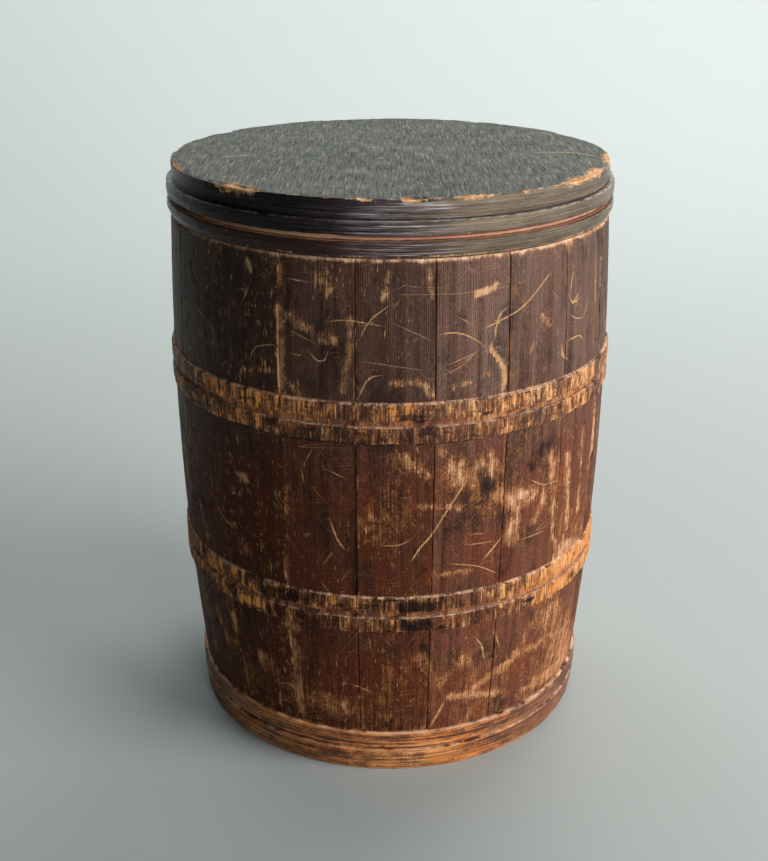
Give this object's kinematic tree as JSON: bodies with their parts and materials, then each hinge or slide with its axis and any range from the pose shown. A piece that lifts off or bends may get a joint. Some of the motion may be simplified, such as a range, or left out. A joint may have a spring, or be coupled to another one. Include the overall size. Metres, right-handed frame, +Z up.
{
  "type": "tobacco box",
  "caption": "Small turned wooden keg of glued staves with raised double hoops, a base board and a flat lift-off lid, for keeping pipe tobacco.",
  "frame": {"origin": "middle of the underside of the base, on the surface it stands on", "axes": "+Z up along the axis of the keg, front towards -Y, +X to the right as seen from the front"},
  "size_m": [0.1272, 0.1271, 0.165],
  "materials": {
    "stave_wood": "dark red-brown stain, worn to ochre on hoops, edges and scratches",
    "base_wood": "thin brown stain worn to orange wood, grain across",
    "lid_wood": "grey-black paint with a dull sheen, chipped to bare wood at the rim"
  },
  "bodies": {
    "keg": {"stave_01": "stave_wood", "stave_02": "stave_wood", "stave_03": "stave_wood", "stave_04": "stave_wood", "stave_05": "stave_wood", "stave_06": "stave_wood", "stave_07": "stave_wood", "stave_08": "stave_wood", "stave_09": "stave_wood", "stave_10": "stave_wood", "stave_11": "stave_wood", "stave_12": "stave_wood", "stave_13": "stave_wood", "stave_14": "stave_wood", "stave_15": "stave_wood", "stave_16": "stave_wood", "stave_17": "stave_wood", "stave_18": "stave_wood", "stave_19": "stave_wood", "base": "base_wood"},
    "lid": {"lid": "lid_wood"}
  },
  "joints": [
    {"name": "lid_lift", "type": "slide", "parent": "keg", "child": "lid", "axis": [0, 0, 1], "range_m": [0, 0.08]}
  ]
}
